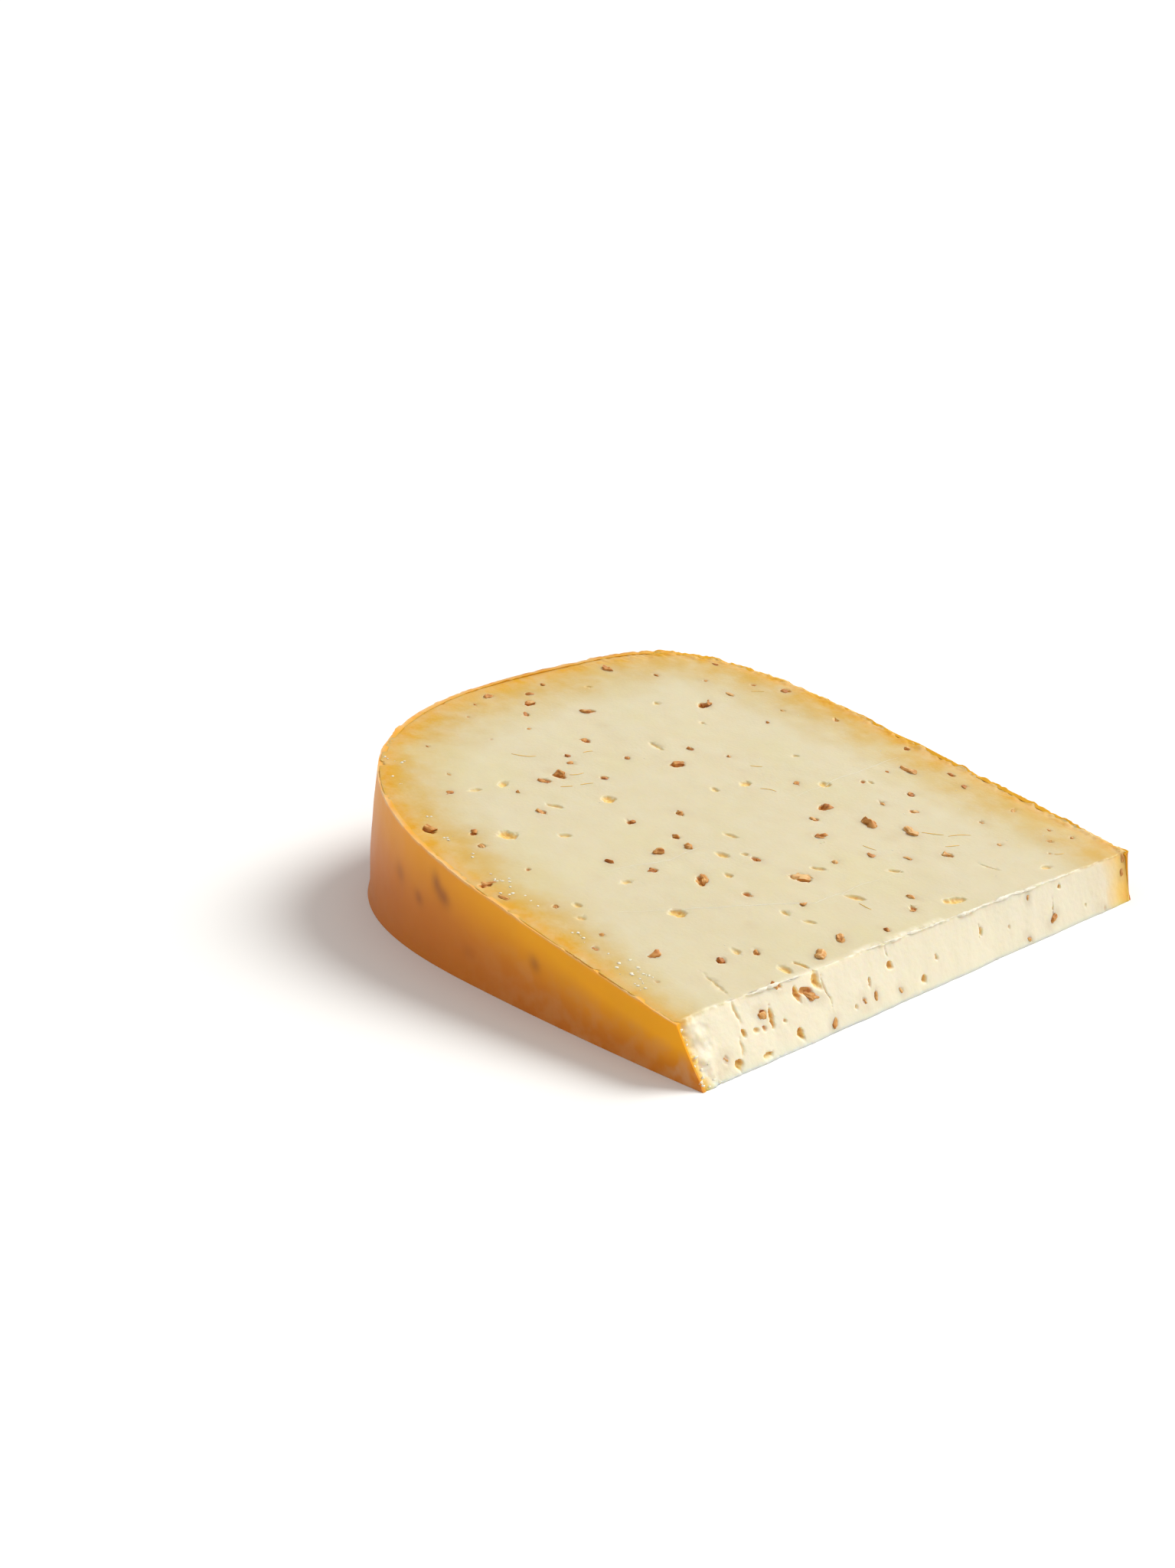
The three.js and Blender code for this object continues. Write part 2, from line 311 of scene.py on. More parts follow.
def seed_points(seed, rings=SEED_RINGS, sides=SEED_SIDES):
    """A ridged husk along X, bent a little, with its middle at the origin."""
    length = seed["length"]
    points = []
    for ring in range(rings + 1):
        turn = math.pi * ring / rings
        x = -length / 2 * math.cos(turn)
        radius = seed["width"] / 2 * math.sin(turn) ** seed["blunt"]
        sag = seed["bend"] * (1 - (2 * x / length) ** 2)
        for side in range(sides):
            angle = 2 * math.pi * side / sides
            ridge = radius * (1 + SEED_RIDGE_HEIGHT * math.cos(SEED_RIDGES * angle))
            points.append((x, ridge * math.cos(angle) + sag, 0.82 * ridge * math.sin(angle)))
    return np.array(points)


def tube_faces(rings, sides, closed=True):
    faces = []
    for ring in range(rings):
        for side in range(sides):
            a = ring * sides + side
            b = ring * sides + (side + 1) % sides
            faces.append((a, b, b + sides, a + sides))
    if closed:
        faces.append(tuple(range(sides))[::-1])
        faces.append(tuple(range(rings * sides, (rings + 1) * sides)))
    return faces


def grid_faces(rows, columns, start=0, flip=False):
    faces = []
    for row in range(rows - 1):
        for column in range(columns - 1):
            a = start + row * columns + column
            face = (a, a + columns, a + columns + 1, a + 1)
            faces.append(face[::-1] if flip else face)
    return faces


def framed_seed(node):
    """Middle, direction and length of a seed from its solid in the frame."""
    points = read_points(node.data)
    middle = points.mean(0)
    along = np.linalg.svd(points - middle)[2][0]
    return middle, along, np.ptp((points - middle) @ along)


def cut_normal(middle):
    """The normal of the cut face nearest to a point."""
    row = middle[None]
    if above_top(row)[0] > outside_tip(row)[0]:
        return TOP_NORMAL
    normal = np.array([1.0, 0.0, tip_lean(middle[1]) / TIP_THICKNESS])
    return normal / np.linalg.norm(normal)


def lay_on_cut(middle, along, normal, length, width, proud):
    """Moves a seed in or out until it stands proud of its cut face by the given height."""
    steep = abs(along @ normal)
    reach = steep * length / 2 + math.sqrt(1 - steep * steep) * width * 0.41
    row = middle[None]
    on_top = normal is TOP_NORMAL
    height = above_top(row)[0] if on_top else outside_tip(row)[0] * normal[0]
    return middle + normal * (proud - reach - height)


def turned(points, along, normal, middle):
    x = along / np.linalg.norm(along)
    y = np.cross(normal, x)
    y /= np.linalg.norm(y)
    return points @ np.array([x, y, np.cross(x, y)]) + middle


def seed_places():
    """Every seed: the frame node it stands for, if any, its middle, direction and looks."""
    places = []
    framed = sorted(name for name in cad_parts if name.startswith("cumin_seed"))
    for name, (width, tone, torn) in zip(framed, SEED_LOOKS):
        middle, along, length = framed_seed(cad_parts[name])
        places.append((name, middle, along, max(length * 0.75, 1.5 * width), width, tone, torn))
    for x, y, length in SMALL_SEEDS:
        turn = rng.uniform(0, math.pi)
        along = np.array([math.cos(turn), math.sin(turn), rng.uniform(-0.8, 0.8)])
        middle = np.array([x, y, top_height(x)])
        torn = rng.random() < 0.4
        places.append((None, middle, along, 0.7 * length, 0.42 * length, rng.uniform(0.1, 0.8), torn))
    for y, height, length in TIP_FACE_SEEDS:
        turn = rng.uniform(0.3, 2.8)
        along = np.array([-0.5, math.cos(turn), math.sin(turn)])
        middle = np.array([tip_face_x(y, height), y, height])
        places.append((None, middle, along, length, 0.45 * length, 0.6, False))
    return places


def settle_seeds():
    seeds = []
    for name, middle, along, length, width, tone, torn in seed_places():
        kind = WHOLE_SEED if rng.random() < WHOLE_SEED["share"] else BROKEN_SEED
        along = along / np.linalg.norm(along)
        normal = cut_normal(middle)
        proud = rng.uniform(0.22, 0.4) * width
        seeds.append({
            "node": name, "along": along, "normal": normal, "length": length, "width": width,
            "middle": lay_on_cut(middle, along, normal, length, width, proud),
            "bend": rng.uniform(-0.1, 0.1) * length, "blunt": kind["blunt"],
            "tone": tone, "hollow": torn, "salt": rng.uniform(0, 90),
            "flush": rng.choice([0.12, 0.3, 0.9]),
        })
    return seeds


def make_seed(name, seeds):
    points = []
    faces = []
    shade = []
    for seed in seeds:
        plain = seed_points(seed)
        own = plain + rough_shift(plain, 1.2, 0.36 * seed["width"], seed["salt"])
        own += rough_shift(plain, 0.45, 0.1 * seed["width"], seed["salt"])
        placed = turned(own, seed["along"], seed["normal"], seed["middle"])
        on_top = seed["normal"] is TOP_NORMAL
        height = above_top(placed) if on_top else outside_tip(placed)
        level = seed["flush"] + rough(placed, 0.6, 0.06, seed["salt"])
        over = np.maximum(height - level, 0)
        placed -= (0.85 * over)[:, None] * seed["normal"]
        offset = len(points)
        points.extend(placed)
        faces.extend(tuple(i + offset for i in face) for face in tube_faces(SEED_RINGS, SEED_SIDES))
        ring = np.arange(len(own)) % SEED_SIDES
        ridge = np.cos(SEED_RIDGES * 2 * math.pi * ring / SEED_SIDES)
        shade.extend(seed["tone"] + 0.16 * ridge + rough(placed, 0.7, 0.2, 2) + 0.25 * (over > 0.03))
    piece = new_piece(name, points, faces)
    mark(piece.data, "husk", shade)
    smooth(piece, 65)
    return piece


# ---------------------------------------------------------------- the paste

def lump(length, width, depth, detail, salt):
    """A torn, lumpy crumb, longest along X."""
    shape = bmesh.new()
    bmesh.ops.create_icosphere(shape, subdivisions=detail, radius=0.5)
    points = np.array([v.co[:] for v in shape.verts])
    faces = [tuple(v.index for v in face.verts) for face in shape.faces]
    shape.free()
    swell = 1 + rough(points, 0.45, 0.32, salt) + rough(points, 0.16, 0.12, salt)
    points *= swell[:, None]
    return points * np.array([length, width, depth]), faces


def paste_blank():
    """The paste before any hole: the wheel's sector, with an even mesh on its faces."""
    rows = []
    for rise in np.linspace(0, 1, 9):
        skin = rind_row(PASTE_INSET, rise, 2)
        share = np.linspace(0, 1, 60)[1:-1, None]
        cut_line = skin[-1] + (skin[0] - skin[-1]) * share
        cut_line[:, 0] = tip_face_x(cut_line[:, 1], cut_line[:, 2])
        rows.append(np.vstack([skin, cut_line]))
    piece = new_piece("paste_body", np.vstack(rows), tube_faces(len(rows) - 1, len(rows[0])))
    even = piece.modifiers.new("even", "REMESH")
    even.mode = "VOXEL"
    even.voxel_size = PASTE_GRAIN * MM
    keep_modifiers(piece)
    return piece


def skin_tree():
    """The paste's own outer skin, just inside the film, to press the mesh against."""
    rows = [rind_row(PASTE_INSET, rise, 1) for rise in np.linspace(0, 1, 25)]
    points = [Vector(point) for point in np.vstack(rows)]
    return BVHTree.FromPolygons(points, grid_faces(len(rows), len(rows[0])))


def true_up(points):
    """Puts the even mesh exactly on its cuts, its skin and the arrises between them."""
    reach = PASTE_GRAIN * 0.62
    skin = skin_tree()
    by_skin = np.where(rind_gap(points) < 2.5)[0]
    nearest = [skin.find_nearest(Vector(points[i])) for i in by_skin]
    by_skin = [i for i, found in zip(by_skin, nearest) if found[3] < reach]
    high = above_top(points) > -reach
    out = outside_tip(points) > -reach
    low = points[:, 2] < reach
    for _ in range(4):
        for i in by_skin:
            points[i] = skin.find_nearest(Vector(points[i]))[0]
        points[high] -= above_top(points)[high][:, None] * TOP_NORMAL
        points[low, 2] = 0
        points[out, 0] -= outside_tip(points)[out]
    return points


def split_finer(piece, wanted, cuts):
    """Cuts each edge of the faces that wanted picks, by their middles, into cuts + 1."""
    shape = bmesh.new()
    shape.from_mesh(piece.data)
    middles = np.array([face.calc_center_median()[:] for face in shape.faces]) / MM
    chosen = wanted(middles)
    edges = {edge for face, yes in zip(shape.faces, chosen) if yes for edge in face.edges}
    bmesh.ops.subdivide_edges(shape, edges=list(edges), cuts=cuts, use_grid_fill=True)
    bmesh.ops.triangulate(shape, faces=[face for face in shape.faces if len(face.verts) > 4])
    shape.to_mesh(piece.data)
    shape.free()


def rind_gap(points):
    """Distance in from the wheel's own skin, near enough, from its section."""
    radius = np.hypot(AXIS_X - points[:, 0], points[:, 2] + AXIS_DROP)
    gaps = []
    for shoulder in (NEAR_SHOULDER, FAR_SHOULDER):
        start = WHEEL_RADIUS - shoulder["reach"]
        out = np.clip((radius - start) / shoulder["reach"], 0, None)
        half = abs(shoulder["side"] * HALF_HEIGHT - RIM_PEAK)
        up = np.clip((points[:, 1] - RIM_PEAK) * shoulder["side"] / half, 0, None)
        power = shoulder["power"]
        level = (out ** power + up ** power) ** (1 / power)
        scale = np.where(out > up * 0.7, shoulder["reach"], half)
        flat = np.abs(flat_height(np.minimum(radius, start), shoulder, 0) - points[:, 1])
        gap = np.where(radius < start, flat, (1 - level) * np.minimum(scale, half))
        gaps.append(np.where((points[:, 1] - RIM_PEAK) * shoulder["side"] >= 0, gap, np.inf))
    return np.clip(np.minimum(*gaps), 0, None)


# ---------------------------------------------------------------- pits, eyes and splits

TIP_NORMAL = np.array([1.0, 0.0, 0.0])


def pit(middle, normal, along, long, wide, depth, steep=0.55, wander=0.0):
    """A hole in a cut face: how long, wide and deep it is, and how upright its sides."""
    along = np.array(along, float)
    along -= (along @ normal) * normal
    along /= np.linalg.norm(along)
    return {"middle": np.array(middle, float), "normal": normal, "along": along,
            "across": np.cross(normal, along), "long": long, "wide": wide, "depth": depth,
            "steep": steep, "wander": wander}


def eye_pits():
    pits = []
    for x, y, length, width, turn in EYES:
        heading = math.radians(turn)
        depth = min(0.15 + 0.19 * width, 0.8)
        pits.append(pit(on_top_at(x, y), TOP_NORMAL, (math.cos(heading), math.sin(heading), 0),
                        length, width * 1.15, depth, steep=0.4))
    for y, height, width, tall, lean, depth in TIP_FACE_HOLES:
        turn = math.radians(90 + lean)
        pits.append(pit(on_tip_at(y, height), TIP_NORMAL, (0, math.cos(turn), math.sin(turn)),
                        tall * 1.1, width * 1.1, depth))
    return pits


def fissure_pits():
    pits = []
    for start, end, width, depth in fissure_list():
        start = np.array(start)
        end = np.array(end)
        run = end - start
        on_top = abs(above_top(start[None])[0]) < 0.3 and abs(above_top(end[None])[0]) < 0.3
        normal = TOP_NORMAL if on_top else TIP_NORMAL
        pits.append(pit((start + end) / 2, normal, run, np.linalg.norm(run), width, depth,
                        steep=0.2, wander=0.3))
    return pits


def seed_pits(seeds):
    """The socket round each seed, and beside some of them what the knife tore open."""
    pits = []
    for seed in seeds:
        placed = turned(seed_points(seed), seed["along"], seed["normal"], seed["middle"])
        on_top = seed["normal"] is TOP_NORMAL
        height = above_top(placed) if on_top else outside_tip(placed)
        shown = placed[height > min(-0.02, np.sort(height)[-6])]
        middle = shown.mean(0)
        normal = TOP_NORMAL if on_top else TIP_NORMAL
        across = np.cross(normal, seed["along"])
        across /= np.linalg.norm(across)
        along = np.cross(across, normal)
        long = np.ptp(shown @ along) + 0.5
        wide = np.ptp(shown @ across) + 0.5
        pits.append(pit(middle, normal, along, long, wide, 0.16, steep=0.4))
        if seed["hollow"]:
            side = 1 if math.sin(seed["salt"]) > 0 else -1
            beside = middle + (across * 0.35 * wide + along * 0.3 * long * math.cos(seed["salt"])) * side
            pits.append(pit(beside, normal, along, long * 1.1, wide * 1.0, 0.35 + 0.2 * seed["width"]))
    return pits


def pit_depths(points, pits):
    """The depth at each point of the deepest pit there: ragged outlines and rough floors."""
    deepest = np.zeros(len(points))
    for index, one in enumerate(pits):
        away = points - one["middle"]
        close = np.where(np.abs(away).max(1) < one["long"] / 2 + 1)[0]
        if len(close) == 0:
            continue
        run = away[close] @ one["along"]
        side = away[close] @ one["across"]
        line = one["middle"] + run[:, None] * one["along"]
        side = side + rough(line, 1.6, one["wander"], index)
        ragged = rough(points[close], 0.9, 0.14, index) + rough(points[close], 0.35, 0.06, index)
        edge = np.hypot(run / one["long"] * 2, side / one["wide"] * 2) + ragged
        floor = 1 + rough(points[close], 0.5, 0.15, index)
        depth = one["depth"] * (1 - fade(edge, one["steep"], 1)) * floor
        deepest[close] = np.maximum(deepest[close], depth)
    return deepest


def near_pits(points, pits, margin):
    near = np.zeros(len(points), bool)
    for one in pits:
        away = points - one["middle"]
        close = np.where(np.abs(away).max(1) < one["long"] / 2 + 1)[0]
        run = away[close] @ one["along"]
        side = away[close] @ one["across"]
        inside = (np.abs(run) < one["long"] / 2 + margin) & (np.abs(side) < one["wide"] / 2 + margin)
        near[close[inside]] = True
    return near


# ---------------------------------------------------------------- how the cut faces came out

CRUMBLE_FROM = -50.5  # the broken corner starts at this Y


def far_edge_lift(points, from_rind):
    """The far rind tore as it was cut, so its edge stands in small bumps."""
    place = fade(points[:, 1], 8, 40) * (1 - fade(from_rind, 0.5, 3))
    bumps = rough(points, 3.2, 0.14, 21) + rough(points, 1.0, 0.14, 22)
    return place * bumps


def needs_detail(points, pits):
    """The tip face, its arrises, the edge along the rind, and every pit."""
    under_top = -above_top(points)
    at_tip = -outside_tip(points) < 0.6
    rind_edge = (under_top < 0.3) & (rind_gap(points) < 2.2)
    return at_tip | rind_edge | near_pits(points, pits, 0.22)


def needs_fine_detail(points, pits):
    """Pits, the tip's top arris and its broken corner."""
    under_top = -above_top(points)
    inside_tip = -outside_tip(points)
    arris = (under_top < 0.35) & (inside_tip < 0.35)
    corner = (points[:, 1] < CRUMBLE_FROM + 1) & (inside_tip < 0.3) & (points[:, 2] > 0.2)
    return arris | corner | near_pits(points, pits, 0.1)


def corner_share(points):
    """1 by the near rind at the tip, where the paste crumbled, fading to 0 along the tip."""
    reach = rough(points, 2.5, 1.6, 14)
    return 1 - fade(points[:, 1] + reach, -HALF_HEIGHT + 1.2, CRUMBLE_FROM + 1)


def work_cut_faces(piece, pits):
    """The wire's drag lines, a slight swell, pits, splits and the crumbled corner."""
    write_points(piece.data, true_up(read_points(piece.data)))
    split_finer(piece, lambda middles: needs_detail(middles, pits), 2)
    split_finer(piece, lambda middles: needs_fine_detail(middles, pits), 1)
    points = read_points(piece.data)
    on_top = above_top(points) > -0.01
    on_tip = outside_tip(points) > -0.01
    from_rind = rind_gap(points)
    top_pits = [one for one in pits if one["normal"] is TOP_NORMAL]
    tip_pits = [one for one in pits if one["normal"] is TIP_NORMAL]
    down = on_top * pit_depths(points, top_pits)
    back = on_tip * pit_depths(points, tip_pits)
    spread = points * np.array([1, 0.03, 1])
    drag = rough(spread, 1.6, 0.03) + rough(spread, 5, 0.05, 9)
    swell = rough(points, 22, 0.16, 4) + rough(points, 3.2, 0.04, 2)
    lift = on_top * (drag + swell + far_edge_lift(points, from_rind))
    upright = points * np.array([1, 1, 0.2])
    torn = rough(upright, 2.2, 0.04, 5) + rough(points, 0.9, 0.02, 6) + rough(upright, 9, 0.12, 8)
    both = on_top & on_tip
    ragged = both * (rough(points, 4, 0.22, 31) + rough(points, 1.1, 0.1, 33))
    crumbled = on_tip * corner_share(points)
    crumbs = rough(points, 2.8, 0.6, 41) + rough(points, 1.1, 0.2, 43)
    moved = points + (lift - down)[:, None] * TOP_NORMAL
    moved[:, 0] += on_tip * torn - back + ragged + crumbled * crumbs
    on_rest = points[:, 2] < 0.001
    moved[:, 2] = np.where(on_rest, 0, np.maximum(moved[:, 2], 0.02))
    write_points(piece.data, moved)
    return np.maximum(down, back), crumbled


def distance_from_rind(points, rind):
    tree = surface_tree(rind)
    return np.array([tree.find_nearest(Vector(p) * MM)[3] for p in points]) / MM


# Seeds just under the cut show as faint shadows: X, Y and radius on the top face.
BURIED = [(-51, 27, 3), (-1.5, 16, 2.5), (25, -50, 2), (-10, 43, 3.5), (16, -36.5, 2), (3, -8, 2.5),
          (30, 22, 3), (-30, 5, 2), (40, -25, 2)]


def stain_of_seeds(points, seeds):
    """1 against a seed, fading to 0 about a millimetre away; less over a buried one."""
    nearest = np.full(len(points), 99.0)
    for seed in seeds:
        along = seed["along"] / np.linalg.norm(seed["along"])
        close = np.where(np.abs(points - seed["middle"]).max(1) < 5)[0]
        away = points[close] - seed["middle"]
        run = np.clip(away @ along, -seed["length"] / 2, seed["length"] / 2)
        gap = np.linalg.norm(away - run[:, None] * along, axis=1) - seed["width"] / 2
        nearest[close] = np.minimum(nearest[close], gap)
    shadow = np.zeros(len(points))
    for x, y, radius in BURIED:
        away = np.linalg.norm(points - np.array(on_top_at(x, y)), axis=1)
        away += rough(points, 3, 0.8, x)
        shadow = np.maximum(shadow, 0.8 * (1 - fade(away, 0, radius)))
    return np.maximum(1 - fade(nearest, 0.0, 1.3), shadow)


TIP_LIGHT_AND_BREAK_SHARE = 0.8  # how much paler the tip face is painted: partly the whiter paste where it broke along its grain, partly painted light for the stronger light on that face
BURRS = [(-14, 39), (-41, -30)]  # the wire left a pale burr along these stretches of the tip


def mark_paste(piece, rind, seeds, depth, crumbled):
    points = read_points(piece.data)
    under_top = -above_top(points)
    inside_tip = -outside_tip(points)
    from_rind = distance_from_rind(points, rind)
    narrowing = 1 + 1.1 * fade(points[:, 0], 15, 55) * (1 - fade(points[:, 1], -20, 10))
    far = fade(points[:, 1], 10, 35)
    rim = 1 - fade(points[:, 0], -45, -25)
    widening = 1 - 0.2 * np.maximum(far, rim)
    mark(piece.data, "rind_mm", from_rind * narrowing * widening)
    mark(piece.data, "hole_mm", depth)
    mark(piece.data, "stain", stain_of_seeds(points, seeds))
    on_tip = (1 - fade(inside_tip, 0.3, 1.2)) * fade(under_top, 0.0, 0.4)
    away = fade(from_rind, 1.5, 9)
    # The tip face is painted paler: partly the whiter paste of the fresh break, partly painted light
    # standing in for the stronger light on that face.
    mark(piece.data, "tip_light_and_break", on_tip * TIP_LIGHT_AND_BREAK_SHARE)
    arris = 1 - fade(np.maximum(np.abs(inside_tip), np.abs(under_top)), 0.1, 0.4)
    pale = crumbled * fade(from_rind, 0.4, 2)
    mark(piece.data, "bruised", np.clip(0.75 * arris * away + pale, 0, 1))


def make_paste(seeds, rind):
    piece = paste_blank()
    pits = eye_pits() + fissure_pits() + seed_pits(seeds)
    depth, crumbled = work_cut_faces(piece, pits)
    mark_paste(piece, rind, seeds, depth, crumbled)
    smooth(piece, 60)
    return piece


# ---------------------------------------------------------------- crumbs, burr and stalks

def surface_tree(piece):
    mesh = piece.data
    vertices = [v.co for v in mesh.vertices]
    polygons = [tuple(p.vertices) for p in mesh.polygons]
    return BVHTree.FromPolygons(vertices, polygons)


def settled(points, tree, over=0.0):
    """The points moved onto a surface, or a little over it."""
    found = [tree.find_nearest(Vector(point) * MM) for point in points]
    return np.array([np.array(hit[0]) / MM + over * np.array(hit[1]) for hit in found])


def crumb_places():
    """Where loose crumbs cling: the broken corner, the tip's top edge and the near edge."""
    places = []
    for _ in range(14):
        y = -HALF_HEIGHT + 1.6 + abs(rng.gauss(0, 1.6))
        height = rng.uniform(0.3, 8.6)
        places.append((on_tip_at(y, height), TIP_NORMAL, rng.uniform(0.4, 0.9)))
    for _ in range(40):
        y = rng.uniform(-50, 40)
        places.append((on_tip_at(y, 9.3), TIP_NORMAL, rng.uniform(0.1, 0.3)))
    for _ in range(16):
        x = rng.uniform(-45, 50)
        edge = np.interp(x, [-45, -30, 10, 60], [-41, -49, -56, -56])
        y = edge + 2 + abs(rng.gauss(0, 3))
        for _ in range(rng.randint(2, 7)):
            speck = on_top_at(x + rng.gauss(0, 1.4), y + rng.gauss(0, 0.8))
            places.append((speck, TOP_NORMAL, rng.uniform(0.25, 0.7)))
    for _ in range(60):
        place = on_top_at(rng.uniform(-45, 50), rng.uniform(-40, 50))
        places.append((place, TOP_NORMAL, rng.uniform(0.15, 0.4)))
    return places


def make_crumbs(tree):
    points = []
    faces = []
    for index, (place, normal, size) in enumerate(crumb_places()):
        detail = 2 if size > 0.4 else 1
        own, own_faces = lump(size, size * rng.uniform(0.5, 0.9), size * rng.uniform(0.16, 0.3),
                              detail, index * 1.3)
        turn = rng.uniform(0, math.pi)
        if normal is TIP_NORMAL:
            along = np.array([0, math.cos(turn), math.sin(turn)])
        else:
            along = np.array([math.cos(turn), math.sin(turn), 0])
        middle = settled([place], tree)[0]
        middle[2] = max(middle[2], size * 0.5)
        offset = len(points)
        points.extend(turned(own, along, normal, middle))
        faces.extend(tuple(i + offset for i in face) for face in own_faces)
    piece = new_piece("crumbs", points, faces)
    smooth(piece)
    return piece


def strand(line, radii, sides=8):
    """A thin round strand along a line of points, with a radius at each."""
    line = np.asarray(line, float)
    along = np.gradient(line, axis=0)
    side = np.cross(along, TOP_NORMAL)
    side /= np.linalg.norm(side, axis=1)[:, None]
    up = np.cross(side, along)
    up /= np.linalg.norm(up, axis=1)[:, None]
    rings = []
    for step in range(sides):
        angle = 2 * math.pi * step / sides
        rings.append(line + (side * math.cos(angle) + up * math.sin(angle)) * radii[:, None])
    return np.stack(rings, 1).reshape(-1, 3), tube_faces(len(line) - 1, sides)


def make_burr():
    points = []
    faces = []
    for first, last in BURRS:
        y = np.linspace(first, last, int((last - first) * 4))
        foot = np.array([on_tip_at(v, 8.9) for v in y])
        line = foot + rough_shift(foot, 3, 0.3, 3) + rough_shift(foot, 0.8, 0.12, 4)
        line[:, 2] = top_height(line[:, 0]) - 0.02
        swell = 0.2 + rough(line, 2.5, 0.16, 6) + rough(line, 0.7, 0.07, 9)
        ends = np.sin(np.linspace(0.02, math.pi - 0.02, len(y))) ** 0.3
        own, own_faces = strand(line, np.clip(swell, 0.05, 0.4) * ends)
        offset = len(points)
        points.extend(own)
        faces.extend(tuple(i + offset for i in face) for face in own_faces)
    piece = new_piece("tip_burr", points, faces)
    smooth(piece, 60)
    return piece


# Bits of cumin stalk dragged along the cut: X, Y, length and heading in degrees.
STALKS = [
    (-26.5, -18, 4.6, 52), (-12, -15, 2.6, 75), (-16, -14, 3, 78), (-22, -6, 2.2, 80), (-13, -19, 2.4, 70),
    (36, 33, 4.6, 66), (33, 29, 4, 50), (6, 14, 3, 40), (45, -3, 2.6, 5), (38, 28.5, 3, 72),
    (-2.5, 19.5, 2.4, 50), (-28, 46, 2.8, 62), (31, 14, 2.6, 20), (50, 44, 2, 70),
]


# Fine pale lines a hard grain scored as the cut was made: points along each on the top face.
SCORES = [
    [(10.4, 16), (9, 32), (7.5, 51)],
    [(24, -45), (34, -24), (40, -10), (39.5, 13)],
    [(14, -36), (17, -22), (16, -12)],
]


def bowed_line(x, y, length, heading):
    turn = math.radians(heading)
    steps = np.linspace(-0.5, 0.5, 14)
    bow = rng.uniform(-0.12, 0.12) * length * (1 - 4 * steps ** 2)
    run = steps * length
    line_x = x + run * math.cos(turn) - bow * math.sin(turn)
    line_y = y + run * math.sin(turn) + bow * math.cos(turn)
    return np.column_stack([line_x, line_y, top_height(line_x)])


def make_strands(name, lines, radius, tree, over):
    """Thin tapered strands laid along lines on a surface."""
    points = []
    faces = []
    for line in lines:
        laid = settled(line, tree, over)
        taper = np.sin(np.linspace(0.2, math.pi - 0.2, len(line))) ** 0.5
        own, own_faces = strand(laid, radius * taper, 6)
        offset = len(points)
        points.extend(own)
        faces.extend(tuple(i + offset for i in face) for face in own_faces)
    piece = new_piece(name, points, faces)
    smooth(piece)
    return piece


def make_stalks(tree):
    lines = [bowed_line(*stalk) for stalk in STALKS]
    return make_strands("cumin_stalks", lines, 0.08, tree, 0.02)


def make_scores(tree):
    lines = []
    for corners in SCORES:
        corners = np.array(corners)
        steps = np.linspace(0, len(corners) - 1, 70)
        x = np.interp(steps, range(len(corners)), corners[:, 0])
        y = np.interp(steps, range(len(corners)), corners[:, 1])
        line = np.column_stack([x, y, top_height(x)])
        lines.append(line + rough_shift(line, 6, 0.5, 2) * np.array([1, 1, 0]))
    return make_strands("score_lines", lines, 0.06, tree, -0.03)


# ---------------------------------------------------------------- the rind's coating

# Seeds just under the rind show through as dark clouds: X, share of the height, half width,
# half of the height's share, and strength.
SMUDGES = [(-2.2, 0.78, 1.3, 0.09, 0.6), (0, 0.7, 1.7, 0.08, 0.65), (-8, 0.52, 1.3, 0.06, 0.5),
           (-15, 0.6, 1.6, 0.08, 0.35), (24, 0.62, 1.3, 0.09, 0.5), (7, 0.32, 1.8, 0.08, 0.2)]


